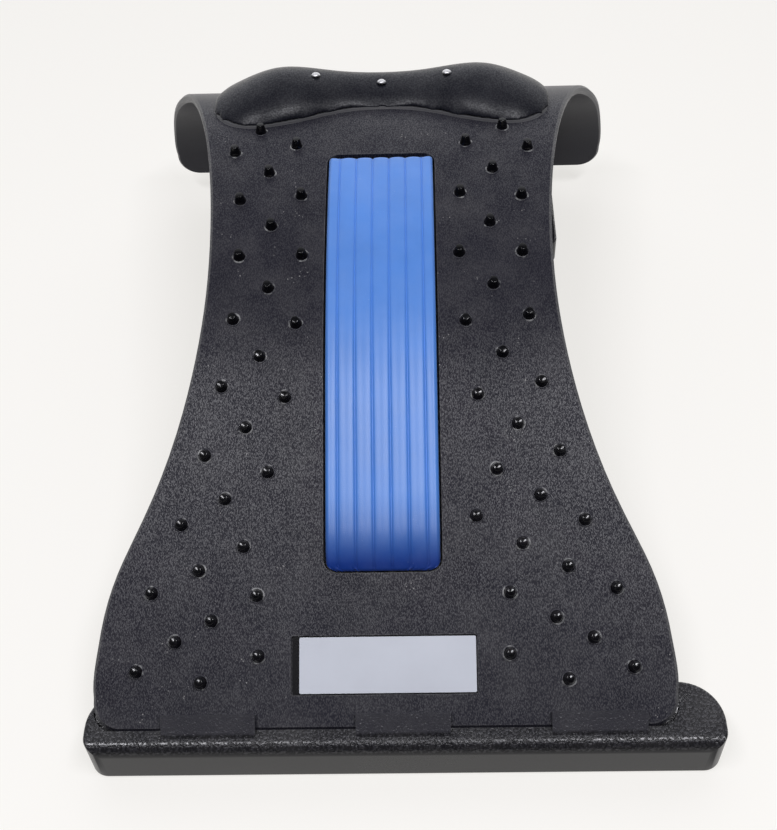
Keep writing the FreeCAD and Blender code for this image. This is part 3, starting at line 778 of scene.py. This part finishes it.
class STRETCHER_OT_panel(bpy.types.Operator):
    """Finish the bent panel and the tray behind it"""
    bl_idname = "stretcher.panel"
    bl_label = "Finish Panel"
    bl_options = {"REGISTER", "UNDO"}

    def execute(self, context):
        colours = context.scene.stretcher_colours
        smooth_copy("arch_panel", "bent_panel", panel_material(colours.panel), "arch", 28.0)
        smooth_copy("pad_tray", "pad_backing_tray",
                    moulded_material("Tray plastic", (0.02, 0.02, 0.021), 0.5, 1500.0), "arch")
        return {"FINISHED"}


class STRETCHER_OT_pad(bpy.types.Operator):
    """Model the fluted foam pad in the panel's slot"""
    bl_idname = "stretcher.pad"
    bl_label = "Add Fluted Pad"
    bl_options = {"REGISTER", "UNDO"}

    notch_half, notch_margin = 0.0009, 0.0004
    side_roll, side_fall = 0.0016, 0.0011
    rear_roll, rear_fall = 0.0022, 0.0014
    front_corner, rear_corner = 0.0046, 0.0024
    across_steps, along_steps = 200, 170

    def height(self, sizes, x, s):
        """Height of the pad's face: rounded ribs, soft sides and a nose that curves down."""
        half = sizes.pad_width / 2
        lane = abs(x) / sizes.pad_rib_pitch + 0.5
        across = 2.0 * (lane - math.floor(lane)) - 1.0
        full_ribs = 2.5 * sizes.pad_rib_pitch
        if abs(x) > full_ribs:
            across = 2.0 * (abs(x) - full_ribs) / (half - full_ribs) - 1.0
            across = max(-1.0, min(1.0, across * 0.82 - 0.18))
        high = sizes.pad_crown - sizes.pad_groove * across * across
        if abs(x) <= full_ribs + self.notch_margin:
            gap = abs(lane - round(lane)) * sizes.pad_rib_pitch
            high -= sizes.pad_notch * max(0.0, 1.0 - gap / self.notch_half) ** 2
        side = max(0.0, abs(x) - (half - self.side_roll)) / self.side_roll
        front = max(0.0, 1.0 - (s - sizes.pad_start) / sizes.pad_nose)
        end = max(0.0, 1.0 - (sizes.pad_end - s) / self.rear_roll)
        return (high - self.side_fall * side * side - sizes.pad_nose_drop * front * front
                - self.rear_fall * end * end)

    def corner_share(self, sizes, s):
        """Share of the full width that a rounded corner leaves near the pad's ends."""
        from_start, from_end = s - sizes.pad_start, sizes.pad_end - s
        corner = self.front_corner if from_start < from_end else self.rear_corner
        near = min(from_start, from_end)
        if near >= corner:
            return 1.0
        inset = corner - math.sqrt(max(0.0, corner ** 2 - (corner - near) ** 2))
        return 1.0 - inset / (sizes.pad_width / 2)

    def execute(self, context):
        scene = context.scene
        sizes = scene.stretcher_sizes
        sheet = surface()
        bm = bmesh.new()
        bmesh.ops.create_grid(bm, x_segments=self.across_steps, y_segments=self.along_steps,
                              size=0.5)
        raised = bmesh.ops.extrude_face_region(bm, geom=list(bm.faces), use_keep_orig=True)["geom"]
        upper = {v for v in raised if isinstance(v, bmesh.types.BMVert)}
        run = sizes.pad_end - sizes.pad_start
        for vert in bm.verts:
            s = sizes.pad_start + (vert.co.y + 0.5) * run
            x = vert.co.x * sizes.pad_width * self.corner_share(sizes, s)
            high = self.height(sizes, x, s) if vert in upper else -sizes.pad_floor
            vert.co = sheet.point(s, x, high)
        bmesh.ops.recalc_face_normals(bm, faces=bm.faces)
        foam = pad_material(scene.stretcher_colours.pad)
        pad = new_object(bm, "fluted_pad", foam, "arch", "spine_pad")
        return {"FINISHED"}


class STRETCHER_OT_pillow(bpy.types.Operator):
    """Model the two-lobed neck pillow with its lip and dots"""
    bl_idname = "stretcher.pillow"
    bl_label = "Add Neck Pillow"
    bl_options = {"REGISTER", "UNDO"}

    dot_steps, dot_sink = 7, 0.0006

    def execute(self, context):
        scene = context.scene
        colours = scene.stretcher_colours
        sizes = scene.stretcher_sizes
        rubber = pillow_material(colours.pillow)
        bm = merged_copy("neck_pillow")
        bm.normal_update()
        middle = scene.stretcher_profile.side_shift
        for vert in bm.verts:
            spread = sizes.pillow_spread * min(1.0, max(0.0, 1.2 - 1.3 * vert.normal.z))
            vert.co.x += spread * vert.normal.x
            vert.co.y += spread * vert.normal.y
            vert.co.x += (vert.co.x - middle) * sizes.pillow_widen
        pillow = new_object(bm, "two_lobed_pillow", rubber, "arch", "neck_pillow")
        skin = pillow.modifiers.new("Even skin", "REMESH")
        skin.mode = "VOXEL"
        skin.voxel_size = 0.0012
        ease = pillow.modifiers.new("Soft edges", "SMOOTH")
        ease.factor = 0.5
        ease.iterations = 14
        graph = context.evaluated_depsgraph_get()
        shaped = bpy.data.meshes.new_from_object(pillow.evaluated_get(graph))
        pillow.modifiers.clear()
        pillow.data = shaped
        set_material(shaped, rubber)
        shaped.shade_smooth()
        # The lip's colour is lightened so it shows the thin light line that its flange catches:
        # painted highlight
        smooth_copy("pillow_base", "pillow_lip",
                    moulded_material("Pillow lip", (0.095, 0.095, 0.10), 0.45, 1600.0), "arch")
        self.add_dots(sizes, colours)
        return {"FINISHED"}

    def add_dots(self, sizes, colours):
        sheet = surface()
        crown = (sizes.dot_radius ** 2 + sizes.dot_rise ** 2) / (2 * sizes.dot_rise)
        points = [(0.0, 0.0, sizes.dot_rise)]
        for step in range(1, self.dot_steps + 1):
            r = sizes.dot_radius * step / self.dot_steps
            points.append((r, 0.0, sizes.dot_rise - crown + math.sqrt(crown ** 2 - r ** 2)))
        points += [(sizes.dot_radius, 0.0, -self.dot_sink), (0.0, 0.0, -self.dot_sink)]
        source = merged_copy("pillow_dots")
        places = []
        for group in islands(source):
            middle = sum((v.co for v in group), Vector()) / len(group)
            s = sheet.nearest(middle)
            high = max((v.co - sheet.point(s, middle.x - sheet.shift)).length for v in group)
            places.append(sheet.standing(s, middle.x - sheet.shift, high - sizes.dot_rise))
        source.free()
        bm = bmesh.new()
        add_copies(bm, spun(points, 32), places)
        nickel = metal_material("Dot nickel", colours.dot, 0.46)
        new_object(bm, "nickel_dots", nickel, "arch", "pillow_dots")


class STRETCHER_OT_studs(bpy.types.Operator):
    """Turn the studs, each with a small moulded collar at its foot"""
    bl_idname = "stretcher.studs"
    bl_label = "Add Studs"
    bl_options = {"REGISTER", "UNDO"}

    sink, dome = 0.0002, 0.0001
    collar_low, collar_high = 0.0001, 0.00034
    edge_steps, edge_turn = 5, 84.0

    def stud_profile(self, sizes):
        tip, base, high, edge = sizes.stud_tip, sizes.stud_base, sizes.stud_height, sizes.stud_round
        points = [(0.0, 0.0, high + self.dome), (tip * 0.35, 0.0, high + self.dome / 2)]
        for step in range(self.edge_steps + 1):
            turn = math.radians(self.edge_turn * step / self.edge_steps)
            points.append((tip - edge + edge * math.sin(turn), 0.0,
                           high - edge * 1.1 + edge * math.cos(turn)))
        points += [(tip + (base - tip) * 0.5, 0.0, high * 0.45), (base * 0.97, 0.0, high * 0.1),
                   (base * 1.03, 0.0, self.sink), (base * 1.1, 0.0, -self.sink),
                   (0.0, 0.0, -self.sink)]
        return points

    def collar_profile(self, sizes):
        base, low, high = sizes.stud_base, self.collar_low, self.collar_high
        return [(0.0, 0.0, low), (base * 0.98, 0.0, low * 1.2), (base * 1.08, 0.0, high),
                (base * 1.16, 0.0, high), (base * 1.26, 0.0, low), (base * 1.3, 0.0, -self.sink),
                (0.0, 0.0, -self.sink)]

    def execute(self, context):
        scene = context.scene
        sizes = scene.stretcher_sizes
        sheet = surface()
        rubber = stud_material(scene.stretcher_colours.stud)
        dusty = collar_material(scene.stretcher_colours.panel)
        every_place = []
        for node in STUD_NODES:
            source = merged_copy(node)
            places = []
            for group in islands(source):
                middle = sum((v.co for v in group), Vector()) / len(group)
                places.append(sheet.standing(sheet.nearest(middle), middle.x - sheet.shift))
            source.free()
            bm = bmesh.new()
            add_copies(bm, spun(self.stud_profile(sizes), ROUND_STEPS), places)
            new_object(bm, node.replace("studs", "knobs"), rubber, "arch", node)
            every_place += places
        bm = bmesh.new()
        add_copies(bm, spun(self.collar_profile(sizes), ROUND_STEPS), every_place)
        new_object(bm, "stud_collars", dusty, "arch")
        return {"FINISHED"}


class STRETCHER_OT_plate(bpy.types.Operator):
    """Lay the blank plate in its recess near the front edge"""
    bl_idname = "stretcher.plate"
    bl_label = "Add Blank Plate"
    bl_options = {"REGISTER", "UNDO"}

    thickness, depth, corner, rim_bevel = 0.0006, 0.00045, 0.0007, 0.00012
    # Sizes of the near-black sheet under the plate that paints the shadow in its recess
    backing_thickness, backing_depth, backing_shift = 0.0003, 0.00098, 0.0003
    backing_side_margin, backing_end_margin = 0.0034, 0.0007

    def block(self, *size):
        bm = bmesh.new()
        bmesh.ops.create_cube(bm, size=1.0)
        bmesh.ops.scale(bm, vec=size, verts=bm.verts)
        return bm

    def execute(self, context):
        scene = context.scene
        sizes = scene.stretcher_sizes
        sheet = surface()
        bm = self.block(sizes.plate_width, sizes.plate_length, self.thickness)
        upright = [e for e in bm.edges if e.verts[0].co.z * e.verts[1].co.z < 0.0]
        bmesh.ops.bevel(bm, geom=upright, offset=self.corner, segments=4, profile=0.5,
                        affect="EDGES", material=-1)
        rim = [e for e in bm.edges if all(v.co.z > 0.0 for v in e.verts)
               and e.calc_face_angle(0.0) > 0.5]
        bmesh.ops.bevel(bm, geom=rim, offset=self.rim_bevel, segments=2, profile=0.5,
                        affect="EDGES", material=-1)
        middle = sizes.plate_start + sizes.plate_length / 2
        bmesh.ops.transform(bm, matrix=sheet.standing(middle, sizes.plate_shift, -self.depth),
                            verts=bm.verts)
        pale = plate_material(scene.stretcher_colours.plate)
        new_object(bm, "blank_plate", pale, "arch", smooth=False)
        # A near-black sheet under the plate, wider than it, shows as a dark gap beside the plate:
        # painted shadow in the recess
        bm = self.block(sizes.plate_width + self.backing_side_margin,
                        sizes.plate_length + self.backing_end_margin, self.backing_thickness)
        bmesh.ops.transform(bm, verts=bm.verts, matrix=sheet.standing(
            middle, self.backing_shift, -self.backing_depth))
        dark = moulded_material("Plate backing", (0.004, 0.004, 0.005), 0.45, 1800.0, 0.12)
        new_object(bm, "plate_backing", dark, "arch", smooth=False)
        return {"FINISHED"}


class STRETCHER_OT_screws(bpy.types.Operator):
    """Set the screw heads under the panel that hold the tray and the pillow"""
    bl_idname = "stretcher.screws"
    bl_label = "Add Screws"
    bl_options = {"REGISTER", "UNDO"}

    # Share of the head's radius, height over its seat
    head_shape = ((0.0, 0.0006), (0.30, 0.0006), (0.42, 0.0015), (0.62, 0.00145), (0.86, 0.00115),
                  (1.0, 0.0006), (1.0, -0.0003), (0.0, -0.0003))
    tray_depth, tray_rows = 0.0065, 4
    pillow_depth, pillow_half, pillow_rows = 0.0045, 0.052, (0.3267, 0.3548)

    def execute(self, context):
        sizes = context.scene.stretcher_sizes
        sheet = surface()
        head = [(sizes.screw_radius * share, 0.0, high) for share, high in self.head_shape]
        down = Matrix.Rotation(math.pi, 4, "X")
        step = (sizes.pad_end - sizes.pad_start) / (2 * self.tray_rows)
        tray_rows = [sizes.pad_start + step * (2 * row + 1) for row in range(self.tray_rows)]
        places = [sheet.standing(s, side * half, -depth) @ down
                  for rows, half, depth in ((tray_rows, sizes.tray_half, self.tray_depth),
                                            (self.pillow_rows, self.pillow_half, self.pillow_depth))
                  for s in rows for side in (-1, 1)]
        bm = bmesh.new()
        add_copies(bm, spun(head, ROUND_STEPS), places)
        steel = metal_material("Screw steel", (0.32, 0.32, 0.33), 0.34)
        new_object(bm, "screw_heads", steel, "arch")
        return {"FINISHED"}


class STRETCHER_OT_stage(bpy.types.Operator):
    """Set the floor, the lamps, the sky and the camera"""
    bl_idname = "stretcher.stage"
    bl_label = "Set Stage"
    bl_options = {"REGISTER", "UNDO"}

    lamp_side, lamp_y, lamp_height = 0.46, -0.44, 1.5
    lamp_size, lamp_colour = (0.6, 0.14), (0.96, 0.955, 1.0)
    aim_side, aim_y = 0.2, -0.05

    def lamp(self, name, side, power):
        """Strip lamp high in front of one side, aimed near the middle of the panel."""
        light = bpy.data.lights.new(name, "AREA")
        light.shape = "RECTANGLE"
        light.energy = power
        light.size, light.size_y = self.lamp_size
        light.color = self.lamp_colour
        made = bpy.data.objects.new(name, light)
        bpy.context.scene.collection.objects.link(made)
        made.location = (side, self.lamp_y, self.lamp_height)
        way = Vector((side * self.aim_side, self.aim_y, 0.0)) - made.location
        made.rotation_euler = way.to_track_quat("-Z", "Y").to_euler()

    def sky(self, scene, strength):
        """Soft sky, dark in front and bright like a wall behind, on a pale backdrop."""
        sky = bpy.data.worlds.new("Pale sky")
        sky.use_nodes = True
        scene.world = sky
        tree = sky.node_tree
        rearward = axis_of(tree, add_node(tree, "TexCoord").outputs["Generated"], "Y")
        front = map_range(tree, rearward, -0.9, -0.05, 0.04, 0.75)
        wall = map_range(tree, rearward, 0.25, 0.75, 0.0, 6.2)
        level = plus(tree, front, wall)
        shade = add_node(tree, "VectorMath", {0: (0.95, 0.96, 1.0), "Scale": level},
                         operation="SCALE")
        light = tree.nodes["Background"]
        feed(light, {"Color": shade.outputs[0], "Strength": strength})
        backdrop = add_node(tree, "Background", {"Color": (0.90, 0.885, 0.85, 1.0)})
        seen = rays(tree, "Camera", "Transmission")
        both = add_node(tree, "MixShader", {0: seen, 1: light.outputs[0], 2: backdrop.outputs[0]})
        feed(tree.nodes["World Output"], {"Surface": both.outputs[0]})

    def execute(self, context):
        scene = context.scene
        stage = scene.stretcher_stage
        scene.view_settings.view_transform = "Standard"
        bm = bmesh.new()
        bmesh.ops.create_grid(bm, x_segments=2, y_segments=2, size=6.0)
        floor = bpy.data.objects.new("floor", finish_mesh(bm, "floor", smooth=False))
        scene.collection.objects.link(floor)
        floor.data.materials.append(floor_material(scene.stretcher_colours.floor, stage.floor_glow))
        self.lamp("left_lamp", -self.lamp_side, stage.left_power)
        self.lamp("right_lamp", self.lamp_side, stage.right_power)
        self.sky(scene, stage.sky_strength)
        lens = bpy.data.cameras.new("camera")
        lens.sensor_width = 36.0
        lens.lens = stage.camera_lens
        lens.clip_start = 0.01
        camera = bpy.data.objects.new("camera", lens)
        scene.collection.objects.link(camera)
        turn = (Matrix.Rotation(stage.camera_yaw, 4, "Z")
                @ Matrix.Rotation(math.pi / 2 - stage.camera_pitch, 4, "X")
                @ Matrix.Rotation(stage.camera_roll, 4, "Z"))
        camera.matrix_world = Matrix.Translation(stage.camera_place) @ turn
        scene.camera = camera
        return {"FINISHED"}


class STRETCHER_PT_panel(bpy.types.Panel):
    """Lists the stretcher's pieces in the sidebar"""
    bl_label = "Back Stretcher"
    bl_idname = "STRETCHER_PT_panel"
    bl_space_type = "VIEW_3D"
    bl_region_type = "UI"
    bl_category = "Stretcher"

    def draw(self, context):
        layout = self.layout
        for operator in OPERATORS:
            layout.operator(operator.bl_idname)
        for group in (context.scene.stretcher_sizes, context.scene.stretcher_colours):
            box = layout.box()
            for name in group.__annotations__:
                box.prop(group, name)


SETTINGS = {
    "stretcher_profile": StretcherProfile,
    "stretcher_sizes": StretcherSizes,
    "stretcher_colours": StretcherColours,
    "stretcher_stage": StretcherStage,
}
OPERATORS = (
    STRETCHER_OT_finishes,
    STRETCHER_OT_base,
    STRETCHER_OT_panel,
    STRETCHER_OT_pad,
    STRETCHER_OT_pillow,
    STRETCHER_OT_studs,
    STRETCHER_OT_plate,
    STRETCHER_OT_screws,
    STRETCHER_OT_stage,
)


def register():
    for cls in (*SETTINGS.values(), *OPERATORS, STRETCHER_PT_panel):
        bpy.utils.register_class(cls)
    for name, group in SETTINGS.items():
        setattr(bpy.types.Scene, name, bpy.props.PointerProperty(type=group))


def unregister():
    for name in SETTINGS:
        delattr(bpy.types.Scene, name)
    for cls in reversed((*SETTINGS.values(), *OPERATORS, STRETCHER_PT_panel)):
        bpy.utils.unregister_class(cls)


def main():
    register()
    bpy.ops.stretcher.finishes()
    bpy.ops.stretcher.base()
    bpy.ops.stretcher.panel()
    bpy.ops.stretcher.pad()
    bpy.ops.stretcher.pillow()
    bpy.ops.stretcher.studs()
    bpy.ops.stretcher.plate()
    bpy.ops.stretcher.screws()
    bpy.ops.stretcher.stage()


if __name__ == "__main__":
    main()
